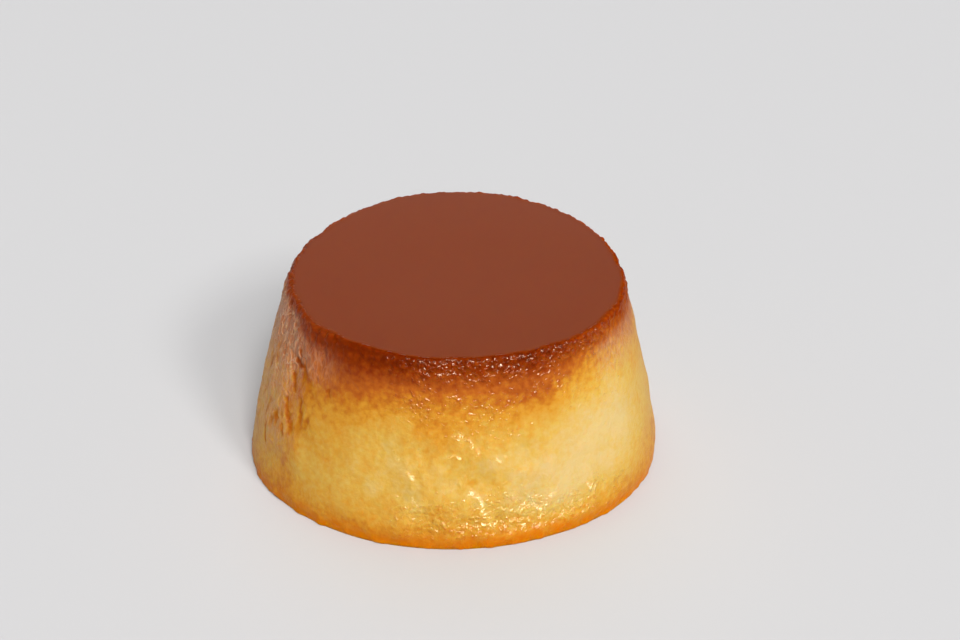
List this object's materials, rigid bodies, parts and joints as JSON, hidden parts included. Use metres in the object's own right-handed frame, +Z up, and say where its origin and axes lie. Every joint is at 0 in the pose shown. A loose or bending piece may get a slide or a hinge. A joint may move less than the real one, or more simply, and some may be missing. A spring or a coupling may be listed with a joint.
{
  "type": "caramel pudding",
  "caption": "Small set custard turned out of a cup mould: a squat cone standing on its wider end, with a flat top soaked in dark caramel.",
  "frame": {"origin": "centre of the flat base, on the surface that the pudding stands on", "axes": "+Z up to the caramel top, -Y the front, +X to the right of a viewer in front of it"},
  "size_m": [0.076, 0.0749, 0.0355],
  "materials": {
    "custard": "baked egg custard, moist satin skin, slightly translucent, browned at the base edge",
    "caramel": "custard soaked in dark caramel, smooth satin top, moist glossy rim"
  },
  "bodies": {
    "root": {"custard": "custard", "caramel_layer": "caramel"}
  },
  "joints": []
}
